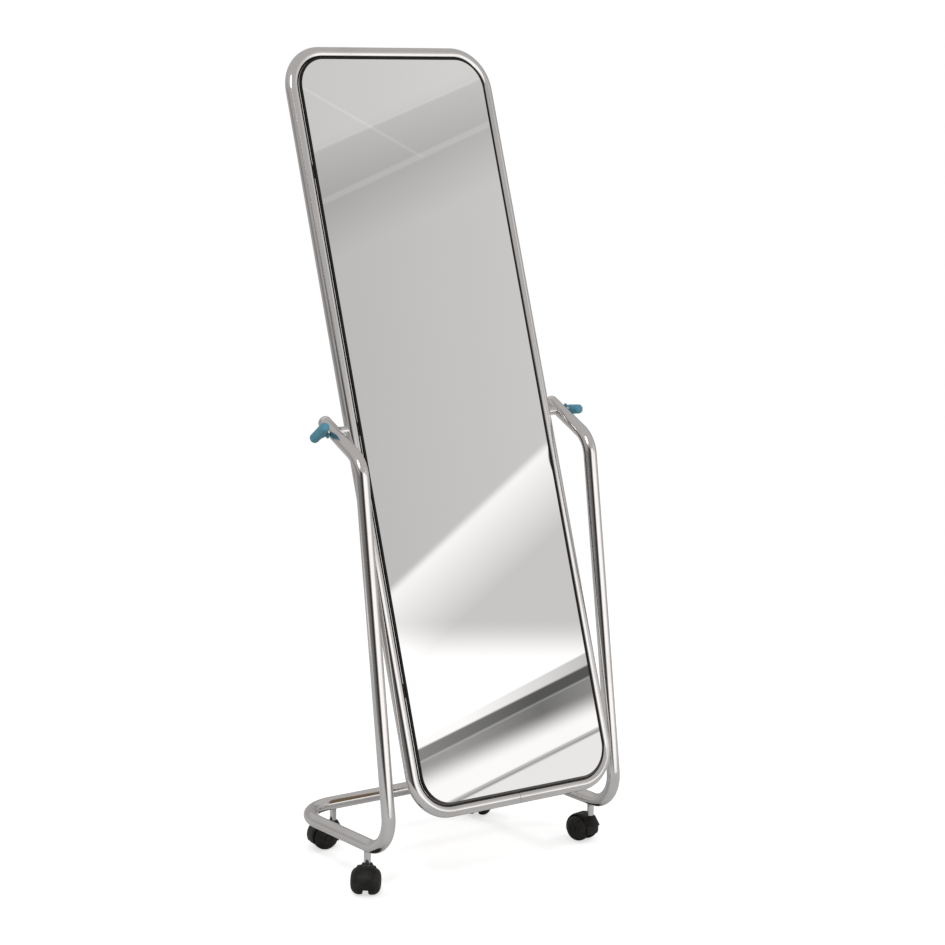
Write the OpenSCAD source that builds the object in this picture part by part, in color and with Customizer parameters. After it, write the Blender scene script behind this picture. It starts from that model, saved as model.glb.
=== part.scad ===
// Rolling floor mirror: a long mirror in a bent chrome loop, tilting in a wheeled stand bent from one tube.
// Millimetres. +Z is up, the front faces -Y. The origin is on the floor under the middle of the tilt axis.

/* [Tilt] */
// Height of the tilt axis above the floor
tilt_axis_height = 827; // [700:1:1000]
// How far the loop leans back in the stored pose, degrees
rest_tilt = 18.5; // [0:0.5:30]

/* [Mirror loop] */
// Outside diameter of the loop tube
loop_tube_d = 25; // [20:0.5:32]
// Wall of the loop tube
loop_tube_wall = 1.5; // [1:0.1:2.5]
// Outside width of the loop
loop_width = 465; // [380:1:600]
// Outside height of the loop
loop_height = 1435; // [1100:1:1600]
// Bend radius of the loop corners, to the tube's centre line
loop_bend_r = 70; // [45:1:110]
// Gap between the two tube ends at the bottom seam
loop_seam_gap = 0.4; // [0.2:0.1:1]
// Length of the joining sleeve inside the bottom seam
loop_sleeve_length = 80; // [50:1:140]
// Wall of the joining sleeve
loop_sleeve_wall = 2; // [1.2:0.1:3]
// Distance of each sleeve screw from the seam
loop_sleeve_screw_x = 26; // [15:1:40]

/* [Mirror panel] */
// Thickness of the mirror glass
glass_thick = 4; // [3:0.5:6]
// Thickness of the backing board
board_thick = 3; // [2:0.5:5]
// Gap all round the backing board inside the rubber lip
board_gap = 0.5; // [0.3:0.1:2]
// Rubber edge: thickness outside the glass edge
rubber_wall = 1.5; // [1:0.1:3]
// Rubber edge: thickness of each lip
rubber_lip_thick = 1; // [0.6:0.1:2]
// Rubber edge: width seen from the front
rubber_lip_width = 4.2; // [3.5:0.1:9]
// How far the rubber edge stands in front of the loop tube
rubber_proud = 1.3; // [0.5:0.1:4]

/* [Panel fixings] */
// Height step between the fixing lugs on each side
lug_step = 480; // [300:1:520]
// Lug width along the tube
lug_width = 26; // [18:1:40]
// Lug reach inwards from the tube's centre line
lug_reach = 36; // [28:1:60]
// Lug thickness
lug_thick = 2; // [1.5:0.1:4]
// Distance of the lug screw from the lug's inner end
lug_screw_inset = 9; // [7:1:14]
// Shank diameter of the small pan-head screws
screw_d = 4; // [3:0.1:5]
// Head diameter of the small pan-head screws
screw_head_d = 8; // [6:0.1:10]
// Head height of the small pan-head screws
screw_head_h = 2.4; // [1.6:0.1:4]

/* [Stand tube] */
// Outside diameter of the stand tube
stand_tube_d = 25; // [20:0.5:32]
// Wall of the stand tube
stand_tube_wall = 1.5; // [1:0.1:2.5]
// Height of the base tubes' centre line above the floor
base_height = 86; // [80:1:110]
// Distance of the front corners in front of the tilt axis
front_reach = 196; // [150:1:260]
// Distance of the rear cross tube behind the tilt axis
rear_reach = 131; // [110:1:220]
// Bend radius of the rear base corners
rear_bend_r = 86; // [50:1:100]
// Bend radius of the front corners
front_bend_r = 60; // [45:1:80]
// Bend radius where the uprights turn back into the arms
arm_bend_r = 57; // [45:1:80]
// Slope of the arms above level, degrees
arm_slope = 25.5; // [10:0.5:40]
// Distance along the arm from its bend to the tilt axis
arm_reach = 100; // [80:1:140]
// Length of arm beyond the tilt axis
arm_tail = 29; // [22:1:50]
// Height of the domed cap on each arm end
arm_cap_dome = 11; // [4:0.5:12]
// Depth of the cap's plug inside the arm
arm_cap_plug = 14; // [8:1:25]

/* [Tilt pivots] */
// Gap between loop tube and stand tube, filled by the spacer
pivot_gap = 15; // [8:0.5:30]
// Outside diameter of the spacer
spacer_d = 15; // [12:0.5:20]
// Diameter of the pivot stud
stud_d = 8; // [6:0.5:10]
// Outside diameter of the bushes in the tubes
bush_d = 13; // [11:0.5:16]
// Outside diameter of the washer under the knob
washer_d = 17; // [14:0.5:24]
// Thickness of the washer under the knob
washer_thick = 3; // [1.5:0.1:6]

/* [Clamp knobs] */
// Diameter of the knob's foot
knob_foot_d = 24; // [20:0.5:32]
// Gap between the knob's foot and the underside of its wings
knob_foot_gap = 1; // [0.5:0.25:2]
// Diameter of the knob's neck
knob_neck_d = 20; // [17:0.5:26]
// Diameter of the rounded wing bar
knob_wing_d = 18; // [16:0.5:24]
// Length of the wing bar over its round ends
knob_wing_length = 52; // [44:1:70]
// Height of the wing bar's middle above the foot
knob_wing_rise = 13; // [11:0.5:20]
// Diameter of the threaded metal insert
insert_d = 12; // [10:0.5:14]
// Length of the threaded metal insert
insert_length = 13; // [8:0.5:16]
// Turn of the left knob in the stored pose, degrees
knob_turn_left = -36; // [-90:1:90]
// Turn of the right knob in the stored pose, degrees
knob_turn_right = -8; // [-90:1:90]

/* [Casters] */
// Wheel diameter
wheel_d = 50; // [40:1:60]
// Width of each wheel
wheel_width = 21; // [15:0.5:26]
// Gap between wheel and housing web
wheel_side_gap = 0.7; // [0.4:0.1:2]
// Roundness of the wheel's outer shoulder, where 0 is square
wheel_roundness = 1.3; // [0.6:0.05:1.35]
// Axle diameter
axle_d = 6; // [5:0.5:8]
// Distance of the axle behind the swivel axis
caster_trail = 20; // [12:1:26]
// Thickness of the housing's middle web
web_thick = 11; // [9:0.5:16]
// Thickness of the hood over the wheels
hood_wall = 2.5; // [1.5:0.1:4]
// Gap between wheel and hood
hood_gap = 1.2; // [0.8:0.1:3]
// Roundness of the hood's outer edges, where 0 is square
hood_roundness = 1.3; // [0.8:0.05:1.35]
// Height of the hood's lower edge above the floor
hood_low = 15; // [9:0.5:22]
// Height of the hood's neck above the floor
hood_neck_top = 52; // [48:0.5:56]
// Diameter of the hood's neck at its top
hood_neck_d = 19; // [17:0.5:26]
// Diameter of the swivel pin
pin_d = 8; // [6:0.5:9]
// Height of the swivel pin's lower end above the floor
pin_low = 34; // [32:0.5:40]
// Diameter of the stem seen between hood and tube
stem_d = 12.5; // [10:0.5:16]
// Diameter of the stem's end inside the tube
stem_top_d = 10; // [8:0.5:12]
// Distance of the rear stems in from the middle of the side tubes
rear_stem_inset = 91; // [86:1:140]
// Distance of the front stems in front of the tilt axis
front_stem_y = 120; // [90:1:126]
// Direction the front left caster trails, degrees from +X
yaw_front_left = -131; // [-180:1:180]
// Direction the front right caster trails, degrees from +X
yaw_front_right = 100; // [-180:1:180]
// Direction the rear left caster trails, degrees from +X
yaw_rear_left = 168; // [-180:1:180]
// Direction the rear right caster trails, degrees from +X
yaw_rear_right = 40; // [-180:1:180]

/* [Clearances] */
// Radial clearance of everything that turns
run_gap = 0.05; // [0.01:0.01:0.1]
// Gap between fixed pieces whose curved faces sit together
seat_gap = 0.3; // [0.2:0.05:0.5]

/* [Hidden] */
$fn = 96;

// Colours
chrome_grey = [0.74, 0.73, 0.72];
steel_grey = [0.55, 0.55, 0.56];
mirror_grey = [0.82, 0.83, 0.84];
rubber_black = [0.04, 0.04, 0.04];
board_brown = [0.42, 0.31, 0.21];
knob_teal = [0.16, 0.42, 0.50];
caster_black = [0.05, 0.05, 0.045];

// Loop, in its own plane: X across, Z along its height, -Y towards the viewer
loop_r = loop_tube_d / 2;
loop_bore = loop_tube_d - 2 * loop_tube_wall;
loop_x = loop_width / 2 - loop_r;
loop_z = loop_height / 2 - loop_r;
sleeve_d = loop_bore - 2 * seat_gap;

// Panel layers, as distances in front of the tube's centre plane
rubber_front = loop_r + rubber_proud;
glass_front = rubber_front - rubber_lip_thick;
glass_back = glass_front - glass_thick;
rubber_back = glass_back - rubber_lip_thick;
board_back = glass_back - board_thick;
lug_back = board_back - lug_thick;
panel_inset = sqrt(pow(loop_r + seat_gap, 2) - pow(rubber_back, 2));
panel_w = 2 * (loop_x - panel_inset);
panel_h = 2 * (loop_z - panel_inset);
panel_r = loop_bend_r - panel_inset;
lug_screw_x = loop_x - lug_reach + lug_screw_inset;

// Stand
stand_r = stand_tube_d / 2;
stand_bore = stand_tube_d - 2 * stand_tube_wall;
stand_x = loop_x + loop_r + pivot_gap + stand_r;
bend_y = -arm_reach * cos(arm_slope);
bend_z = tilt_axis_height - arm_reach * sin(arm_slope);
upright_run = bend_y + front_reach;
upright_rise = bend_z - base_height;
upright_lean = atan(upright_run / upright_rise);
upright_length = norm([upright_run, upright_rise]);
arm_bend_angle = 90 - upright_lean - arm_slope;
front_bend_angle = 90 + upright_lean;
arm_setback = arm_bend_r * tan(arm_bend_angle / 2);
front_setback = front_bend_r * tan(front_bend_angle / 2);
arm_length = arm_reach + arm_tail;
side_length = front_reach + rear_reach - front_setback - rear_bend_r;

// Pivots, as distances from the middle along X
spacer_end = loop_x + loop_r + pivot_gap - seat_gap;
washer_x = stand_x + stand_r + seat_gap;
knob_x = washer_x + washer_thick + seat_gap / 3;
stud_inner = loop_x - loop_r + 2 * loop_tube_wall;
stud_outer = knob_x + insert_length + 2;
bush_inner = loop_x - sqrt(pow(loop_bore / 2, 2) - pow(bush_d / 2, 2)) + seat_gap;
bush_outer = loop_x + sqrt(pow(loop_r, 2) - pow(bush_d / 2, 2)) - seat_gap;
bush_hole_d = bush_d + 2 * seat_gap;
stud_hole_d = stud_d + 2 * run_gap;
stud_pass_d = stud_d + 2 * seat_gap;
washer_hole_d = stud_d + 2 * run_gap;
knob_foot_h = knob_wing_rise - knob_wing_d / 2 - knob_foot_gap;

// Casters
wheel_r = wheel_d / 2;
wheel_inner_y = web_thick / 2 + wheel_side_gap;
wheel_outer_y = wheel_inner_y + wheel_width;
cavity_r = wheel_r + hood_gap;
hood_r = cavity_r + hood_wall;
hood_edge_r = hood_roundness * wheel_outer_y * hood_r / (wheel_outer_y + hood_r);
wheel_shoulder_r = wheel_roundness * wheel_r * wheel_width / (wheel_r + wheel_width);
hub_recess_r = 0.3 * wheel_r;
axle_length = 2 * (wheel_outer_y - 3);
rear_stem_x = stand_x - rear_stem_inset;
stem_shoulder = base_height - stand_r - seat_gap;
stem_top = base_height + 6;
stem_bush_low = base_height - stand_r + seat_gap;
small_cut = 1;

// A bend mark: the faint ring where a straight run of tube passes into a bend
mark_length = 0.6;
mark_step = 0.1;
mark_inset = 0.1;

// ---------- shared shapes ----------

// Round bar from the origin along +Z
module bar(d, length) {
    cylinder(d = d, h = length);
}

// Straight run between two bends, stopping just inside the bend mark at each end
module run(d, length) {
    translate([0, 0, mark_inset])
        bar(d, length - 2 * mark_inset);
}

// Straight run into a bend, from a free end at the origin
module first_run(d, length) {
    bar(d, length - mark_inset);
}

// Straight run out of a bend, to a free end
module last_run(d, length) {
    translate([0, 0, mark_inset])
        bar(d, length - mark_inset);
}

// Bend with its marks at both ends
module marked_bend(d, r, angle) {
    bend(d, r, angle);
    bend_mark(d);
    after_bend(r, angle)
        bend_mark(d);
}

module bend_mark(d) {
    translate([0, 0, -mark_length / 2])
        cylinder(d = d + mark_step, h = mark_length);
}

// Quarter-torus style bend: starts at the origin heading along +Z and turns towards +X
module bend(d, r, angle) {
    translate([r, 0, 0])
        rotate([90, 0, 180])
            rotate_extrude(angle = angle)
                translate([r, 0])
                    circle(d = d);
}

// Moves on past a bend, so that +Z is the new heading
module after_bend(r, angle) {
    translate([r * (1 - cos(angle)), 0, r * sin(angle)])
        rotate([0, angle, 0])
            children();
}

module mirror_copy(direction) {
    children();
    mirror(direction)
        children();
}

module tilted() {
    translate([0, 0, tilt_axis_height])
        rotate([-rest_tilt, 0, 0])
            children();
}

module rounded_rect(w, h, r) {
    square([w - 2 * r, h], center = true);
    square([w, h - 2 * r], center = true);
    for (x = [-1, 1])
        for (y = [-1, 1])
            translate([x * (w / 2 - r), y * (h / 2 - r)])
                circle(r = r);
}

// Flat rounded sheet between two distances in front of the loop's centre plane
module sheet(w, h, r, back, front) {
    rotate([90, 0, 0])
        translate([0, 0, back])
            linear_extrude(front - back)
                rounded_rect(w, h, r);
}

// Cylinder along X between two distances from the middle
module x_bar(d, x_from, x_to) {
    translate([x_from, 0, 0])
        rotate([0, 90, 0])
            cylinder(d = d, h = x_to - x_from);
}

// Screw pointing along +Z with its head below the origin
module pan_screw(length) {
    cylinder(d = screw_d, h = length);
    translate([0, 0, -screw_head_h])
        cylinder(d = screw_head_d, h = screw_head_h);
}

// ---------- mirror loop ----------

// One half of the loop, from the bottom seam round to the middle of the top
module loop_half(d) {
    flat = loop_x - loop_bend_r;
    tall = 2 * (loop_z - loop_bend_r);
    translate([0, 0, -loop_z])
        rotate([0, 90, 0]) {
            bar(d, flat);
            translate([0, 0, flat])
                rotate([0, 0, 180]) {
                    bend(d, loop_bend_r, 90);
                    after_bend(loop_bend_r, 90) {
                        bar(d, tall);
                        translate([0, 0, tall]) {
                            bend(d, loop_bend_r, 90);
                            after_bend(loop_bend_r, 90)
                                bar(d, flat);
                        }
                    }
                }
        }
}

module loop_path(d) {
    mirror_copy([1, 0, 0])
        loop_half(d);
}

module loop_screw_places() {
    for (side = [-1, 1])
        translate([side * loop_sleeve_screw_x, loop_r, -loop_z])
            rotate([90, 0, 0])
                children();
}

module loop_tube() {
    color(chrome_grey)
        tilted()
            difference() {
                loop_path(loop_tube_d);
                loop_path(loop_bore);
                translate([0, 0, -loop_z])
                    cube([loop_seam_gap, 2 * loop_tube_d, 2 * loop_tube_d], center = true);
                mirror_copy([1, 0, 0])
                    x_bar(bush_hole_d, loop_x, loop_x + loop_tube_d);
                loop_screw_places()
                    cylinder(d = screw_d + 2 * seat_gap, h = loop_r);
            }
}

module loop_sleeve() {
    color(steel_grey)
        tilted()
            difference() {
                translate([0, 0, -loop_z])
                    x_bar(sleeve_d, -loop_sleeve_length / 2, loop_sleeve_length / 2);
                translate([0, 0, -loop_z])
                    x_bar(sleeve_d - 2 * loop_sleeve_wall, -loop_sleeve_length, loop_sleeve_length);
                loop_screw_places()
                    cylinder(d = screw_d + 2 * run_gap, h = loop_r);
            }
}

module loop_screws() {
    color(steel_grey)
        tilted()
            loop_screw_places()
                translate([0, 0, -seat_gap])
                    pan_screw(loop_r - small_cut);
}

module loop_bushes() {
    color(steel_grey)
        tilted()
            mirror_copy([1, 0, 0])
                difference() {
                    x_bar(bush_d, bush_inner, bush_outer);
                    x_bar(stud_hole_d, bush_inner - small_cut, loop_x + loop_tube_d);
                }
}

// ---------- mirror panel ----------

module mirror_glass() {
    edge = 2 * (rubber_wall + seat_gap);
    color(mirror_grey)
        tilted()
            sheet(panel_w - edge, panel_h - edge, panel_r - edge / 2, glass_back, glass_front);
}

module rubber_edge() {
    pocket = 2 * rubber_wall;
    window = 2 * rubber_lip_width;
    color(rubber_black)
        tilted()
            difference() {
                sheet(panel_w, panel_h, panel_r, rubber_back, rubber_front);
                sheet(panel_w - pocket, panel_h - pocket, panel_r - pocket / 2, glass_back, glass_front);
                sheet(panel_w - window, panel_h - window, panel_r - window / 2,
                    rubber_back - small_cut, rubber_front + small_cut);
            }
}

module backing_board() {
    edge = 2 * (rubber_lip_width + board_gap);
    color(board_brown)
        tilted()
            difference() {
                sheet(panel_w - edge, panel_h - edge, panel_r - edge / 2, board_back, glass_back);
                lug_places()
                    translate([lug_screw_x, -board_back + small_cut, 0])
                        rotate([90, 0, 0])
                            cylinder(d = screw_d + 2 * run_gap, h = board_thick);
            }
}

module lug_places() {
    mirror_copy([1, 0, 0])
        for (step = [-1 : 1])
            translate([0, 0, step * lug_step])
                children();
}

module panel_lugs() {
    color(steel_grey)
        tilted()
            lug_places()
                difference() {
                    translate([loop_x - lug_reach, -board_back, -lug_width / 2])
                        cube([lug_reach, lug_thick, lug_width]);
                    translate([loop_x, 0, -lug_width])
                        cylinder(r = loop_r + seat_gap, h = 2 * lug_width);
                    translate([lug_screw_x, loop_r, 0])
                        rotate([90, 0, 0])
                            cylinder(d = screw_d + 2 * seat_gap, h = loop_tube_d);
                }
}

module panel_screws() {
    color(steel_grey)
        tilted()
            lug_places()
                translate([lug_screw_x, -lug_back, 0])
                    rotate([90, 0, 0])
                        pan_screw(lug_thick + board_thick - small_cut);
}

// ---------- tilt pivots ----------

module pivot_studs() {
    color(steel_grey)
        tilted()
            mirror_copy([1, 0, 0])
                x_bar(stud_d, stud_inner, stud_outer);
}

module pivot_spacers() {
    color(chrome_grey)
        tilted()
            mirror_copy([1, 0, 0])
                difference() {
                    x_bar(spacer_d, loop_x, spacer_end);
                    x_bar(stud_pass_d, loop_x - small_cut, spacer_end + small_cut);
                    translate([loop_x, 0, -spacer_d])
                        cylinder(r = loop_r + seat_gap, h = 2 * spacer_d);
                }
}

module washer() {
    color(chrome_grey)
        translate([0, 0, tilt_axis_height])
            difference() {
                x_bar(washer_d, washer_x, washer_x + washer_thick);
                x_bar(washer_hole_d, washer_x - small_cut, washer_x + washer_thick + small_cut);
            }
}

module washer_right() {
    washer();
}

module washer_left() {
    mirror([1, 0, 0])
        washer();
}

// ---------- clamp knobs ----------

// Round-ended bar along Y, centred on the origin
module wing_bar(d, length) {
    straight = length - d;
    rotate([90, 0, 0])
        rotate_extrude()
            intersection() {
                union() {
                    for (end = [-1, 1])
                        translate([0, end * straight / 2])
                            circle(d = d);
                    translate([0, -straight / 2])
                        square([d / 2, straight]);
                }
                translate([0, -length])
                    square([d, 2 * length]);
            }
}

// Knob on the +X side, its wing bar turned by the given angle about the tilt axis
module knob(turn) {
    color(knob_teal)
        translate([0, 0, tilt_axis_height])
            rotate([turn, 0, 0])
                difference() {
                    union() {
                        x_bar(knob_foot_d, knob_x, knob_x + knob_foot_h);
                        x_bar(knob_neck_d, knob_x, knob_x + knob_wing_rise);
                        translate([knob_x + knob_wing_rise, 0, 0])
                            wing_bar(knob_wing_d, knob_wing_length);
                    }
                    x_bar(insert_d + 2 * run_gap, knob_x - small_cut, knob_x + insert_length);
                    x_bar(stud_pass_d, knob_x, stud_outer + small_cut);
                }
}

module knob_insert() {
    color(steel_grey)
        translate([0, 0, tilt_axis_height])
            difference() {
                x_bar(insert_d, knob_x, knob_x + insert_length);
                x_bar(stud_hole_d, knob_x - small_cut, knob_x + insert_length + small_cut);
            }
}

module knob_right() {
    knob(knob_turn_right);
}

module knob_left() {
    mirror([1, 0, 0])
        knob(knob_turn_left);
}

module knob_insert_right() {
    knob_insert();
}

module knob_insert_left() {
    mirror([1, 0, 0])
        knob_insert();
}

// ---------- stand ----------

// Half of the stand's tube: arm end, arm, upright, side tube, and the rear cross tube up to the middle
module stand_half(d, extra) {
    arm_straight = arm_length - arm_setback;
    upright_straight = upright_length - arm_setback - front_setback;
    translate([stand_x, bend_y + arm_length * cos(arm_slope), bend_z + arm_length * sin(arm_slope)])
        rotate([90 + arm_slope, 0, 0])
            rotate([0, 0, -90]) {
                translate([0, 0, -extra])
                    first_run(d, arm_straight + extra);
                translate([0, 0, arm_straight]) {
                    marked_bend(d, arm_bend_r, arm_bend_angle);
                    after_bend(arm_bend_r, arm_bend_angle) {
                        run(d, upright_straight);
                        translate([0, 0, upright_straight]) {
                            marked_bend(d, front_bend_r, front_bend_angle);
                            after_bend(front_bend_r, front_bend_angle)
                                base_half(d);
                        }
                    }
                }
            }
}

// Side tube running back, rear corner, and the cross tube up to the middle
module base_half(d) {
    run(d, side_length);
    translate([0, 0, side_length])
        rotate([0, 0, -90]) {
            marked_bend(d, rear_bend_r, 90);
            after_bend(rear_bend_r, 90)
                last_run(d, stand_x - rear_bend_r + mark_length);
        }
}

module stand_path(d, extra) {
    mirror_copy([1, 0, 0])
        stand_half(d, extra);
}

module stem_places() {
    for (side = [-1, 1]) {
        translate([side * stand_x, -front_stem_y, 0])
            children();
        translate([side * rear_stem_x, rear_reach, 0])
            children();
    }
}

module stand_tube() {
    color(chrome_grey)
        difference() {
            stand_path(stand_tube_d, 0);
            stand_path(stand_bore, small_cut);
            translate([0, 0, tilt_axis_height])
                mirror_copy([1, 0, 0])
                    x_bar(bush_hole_d, stand_x - stand_tube_d, stand_x + stand_tube_d);
            stem_places()
                translate([0, 0, base_height - stand_tube_d])
                    cylinder(d = bush_hole_d, h = stand_tube_d);
        }
}

module arm_caps() {
    cap_r = stand_r;
    plug_d = stand_bore - 2 * seat_gap;
    dome_r = (pow(cap_r, 2) + pow(arm_cap_dome, 2)) / (2 * arm_cap_dome);
    color(chrome_grey)
        mirror_copy([1, 0, 0])
            translate([stand_x, bend_y, bend_z])
                rotate([arm_slope - 90, 0, 0])
                    translate([0, 0, arm_length]) {
                        intersection() {
                            translate([0, 0, arm_cap_dome - dome_r])
                                sphere(r = dome_r);
                            cylinder(r = cap_r, h = 2 * arm_cap_dome);
                        }
                        translate([0, 0, -arm_cap_plug])
                            bar(plug_d, arm_cap_plug);
                    }
}

module arm_bushes() {
    color(steel_grey)
        translate([0, 0, tilt_axis_height])
            mirror_copy([1, 0, 0])
                difference() {
                    x_bar(bush_d, stand_x - stand_r + seat_gap, stand_x + stand_r - seat_gap);
                    x_bar(stud_hole_d, stand_x - stand_tube_d, stand_x + stand_tube_d);
                }
}

module stem_bushes() {
    color(steel_grey)
        stem_places()
            difference() {
                translate([0, 0, stem_bush_low])
                    cylinder(d = bush_d, h = stem_top - stem_bush_low);
                translate([0, 0, stem_bush_low - small_cut])
                    cylinder(d = stem_top_d + 2 * run_gap, h = stand_tube_d);
            }
}

// ---------- casters ----------

module caster_stems() {
    color(chrome_grey)
        stem_places() {
            translate([0, 0, pin_low])
                cylinder(d = pin_d, h = hood_neck_top - pin_low + seat_gap);
            translate([0, 0, hood_neck_top + seat_gap])
                cylinder(d = stem_d, h = stem_shoulder - hood_neck_top - seat_gap);
            translate([0, 0, stem_shoulder])
                cylinder(d = stem_top_d, h = stem_top - stem_shoulder);
        }
}

// Stands a caster piece at its stem, trailing in the given direction
module caster_at(x, y, yaw) {
    translate([x, y, 0])
        rotate([0, 0, yaw])
            children();
}

// Puts +Z along the axle
module on_axle() {
    translate([caster_trail, 0, wheel_r])
        rotate([-90, 0, 0])
            children();
}

module hood_disc() {
    flat = hood_r - hood_edge_r;
    half = wheel_outer_y - hood_edge_r;
    on_axle()
        rotate_extrude() {
            translate([0, -wheel_outer_y])
                square([flat, 2 * wheel_outer_y]);
            translate([0, -half])
                square([hood_r, 2 * half]);
            for (side = [-1, 1])
                translate([flat, side * half])
                    intersection() {
                        circle(r = hood_edge_r);
                        translate([-flat, -hood_edge_r])
                            square([hood_r, 2 * hood_edge_r]);
                    }
        }
}

module caster_hood() {
    neck_foot = wheel_r + wheel_r / 3;
    color(caster_black)
        difference() {
            union() {
                hood_disc();
                translate([0, 0, hood_low])
                    cylinder(d = hood_neck_d, h = hood_neck_top - hood_low);
                translate([0, 0, neck_foot])
                    cylinder(d1 = 2 * hood_neck_d, d2 = hood_neck_d, h = hood_neck_top - neck_foot);
            }
            for (side = [0, 180])
                on_axle()
                    rotate([side, 0, 0])
                        translate([0, 0, web_thick / 2])
                            cylinder(r = cavity_r, h = wheel_d);
            translate([-wheel_d * 2, -wheel_d * 2, hood_low - wheel_d])
                cube([wheel_d * 4, wheel_d * 4, wheel_d]);
            translate([0, 0, pin_low - small_cut])
                cylinder(d = pin_d + 2 * run_gap, h = wheel_d);
            on_axle()
                cylinder(d = axle_d + 2 * run_gap, h = wheel_d * 2, center = true);
        }
}

module caster_axle() {
    color(steel_grey)
        on_axle()
            cylinder(d = axle_d, h = axle_length, center = true);
}

// Wheel on one side of the web: side is 1 or -1
module caster_wheel(side) {
    flat = wheel_r - wheel_shoulder_r;
    hub_recess = 3;
    color(caster_black)
        on_axle()
            mirror([0, 0, side < 0 ? 1 : 0])
                translate([0, 0, wheel_inner_y])
                    difference() {
                        rotate_extrude() {
                            square([flat, wheel_width]);
                            square([wheel_r, wheel_width - wheel_shoulder_r]);
                            translate([flat, wheel_width - wheel_shoulder_r])
                                intersection() {
                                    circle(r = wheel_shoulder_r);
                                    square(wheel_shoulder_r);
                                }
                        }
                        translate([0, 0, wheel_width - hub_recess])
                            cylinder(r = hub_recess_r, h = wheel_width);
                        translate([0, 0, -small_cut])
                            cylinder(d = axle_d + 2 * run_gap, h = wheel_width * 2);
                    }
}

module front_left() {
    caster_at(-stand_x, -front_stem_y, yaw_front_left)
        children();
}

module front_right() {
    caster_at(stand_x, -front_stem_y, yaw_front_right)
        children();
}

module rear_left() {
    caster_at(-rear_stem_x, rear_reach, yaw_rear_left)
        children();
}

module rear_right() {
    caster_at(rear_stem_x, rear_reach, yaw_rear_right)
        children();
}

module hood_front_left() {
    front_left() caster_hood();
}

module axle_front_left() {
    front_left() caster_axle();
}

module wheel_front_left_a() {
    front_left() caster_wheel(1);
}

module wheel_front_left_b() {
    front_left() caster_wheel(-1);
}

module hood_front_right() {
    front_right() caster_hood();
}

module axle_front_right() {
    front_right() caster_axle();
}

module wheel_front_right_a() {
    front_right() caster_wheel(1);
}

module wheel_front_right_b() {
    front_right() caster_wheel(-1);
}

module hood_rear_left() {
    rear_left() caster_hood();
}

module axle_rear_left() {
    rear_left() caster_axle();
}

module wheel_rear_left_a() {
    rear_left() caster_wheel(1);
}

module wheel_rear_left_b() {
    rear_left() caster_wheel(-1);
}

module hood_rear_right() {
    rear_right() caster_hood();
}

module axle_rear_right() {
    rear_right() caster_axle();
}

module wheel_rear_right_a() {
    rear_right() caster_wheel(1);
}

module wheel_rear_right_b() {
    rear_right() caster_wheel(-1);
}

loop_tube();
loop_sleeve();
loop_screws();
mirror_glass();
rubber_edge();
backing_board();
panel_lugs();
panel_screws();
loop_bushes();
pivot_studs();
pivot_spacers();
washer_left();
washer_right();
knob_left();
knob_right();
knob_insert_left();
knob_insert_right();
stand_tube();
arm_caps();
arm_bushes();
stem_bushes();
caster_stems();
hood_front_left();
axle_front_left();
wheel_front_left_a();
wheel_front_left_b();
hood_front_right();
axle_front_right();
wheel_front_right_a();
wheel_front_right_b();
hood_rear_left();
axle_rear_left();
wheel_rear_left_a();
wheel_rear_left_b();
hood_rear_right();
axle_rear_right();
wheel_rear_right_a();
wheel_rear_right_b();
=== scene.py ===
from math import cos, pi, radians, sin, tan

import bmesh
import bpy
from mathutils import Matrix, Vector


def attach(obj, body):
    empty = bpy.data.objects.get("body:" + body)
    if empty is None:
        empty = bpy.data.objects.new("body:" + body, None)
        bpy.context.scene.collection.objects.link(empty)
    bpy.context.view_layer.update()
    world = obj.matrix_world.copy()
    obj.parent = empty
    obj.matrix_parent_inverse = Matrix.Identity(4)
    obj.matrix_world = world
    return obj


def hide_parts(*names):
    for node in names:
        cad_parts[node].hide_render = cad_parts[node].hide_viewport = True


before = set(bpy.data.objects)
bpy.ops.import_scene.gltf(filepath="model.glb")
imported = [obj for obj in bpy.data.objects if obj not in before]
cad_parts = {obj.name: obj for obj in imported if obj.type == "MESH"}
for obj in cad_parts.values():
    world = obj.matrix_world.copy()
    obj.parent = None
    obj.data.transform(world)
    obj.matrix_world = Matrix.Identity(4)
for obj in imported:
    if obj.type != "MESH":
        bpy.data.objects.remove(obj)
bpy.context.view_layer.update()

MM = 0.001


# ---------------------------------------------------------------- camera
# A standing person's view from the front left of the mirror, looking slightly down
# along a long lens, so that the uprights stay almost parallel.

camera_place = Vector((-2.7898, -3.8314, 1.5347))
camera_heading = radians(36.58)
camera_dip = radians(9.64)
camera_roll = radians(0.84)
camera_lens = 98.2

camera_data = bpy.data.cameras.new("standing_view")
camera_data.lens = camera_lens
camera_data.sensor_width = 36.0
camera_data.clip_start = 0.1
camera_data.clip_end = 200.0
camera = bpy.data.objects.new("standing_view", camera_data)
bpy.context.scene.collection.objects.link(camera)
camera.matrix_world = (
    Matrix.Translation(camera_place)
    @ Matrix.Rotation(-camera_heading, 4, "Z")
    @ Matrix.Rotation(pi / 2 - camera_dip, 4, "X")
    @ Matrix.Rotation(camera_roll, 4, "Z")
)
bpy.context.scene.camera = camera
bpy.context.scene.view_settings.view_transform = "Standard"


# ---------------------------------------------------------------- studio floor
# A round sheet of white paper under the casters. It keeps the object's shadow, and
# from below it lets the view through, so that the underside can be looked at.

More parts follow.
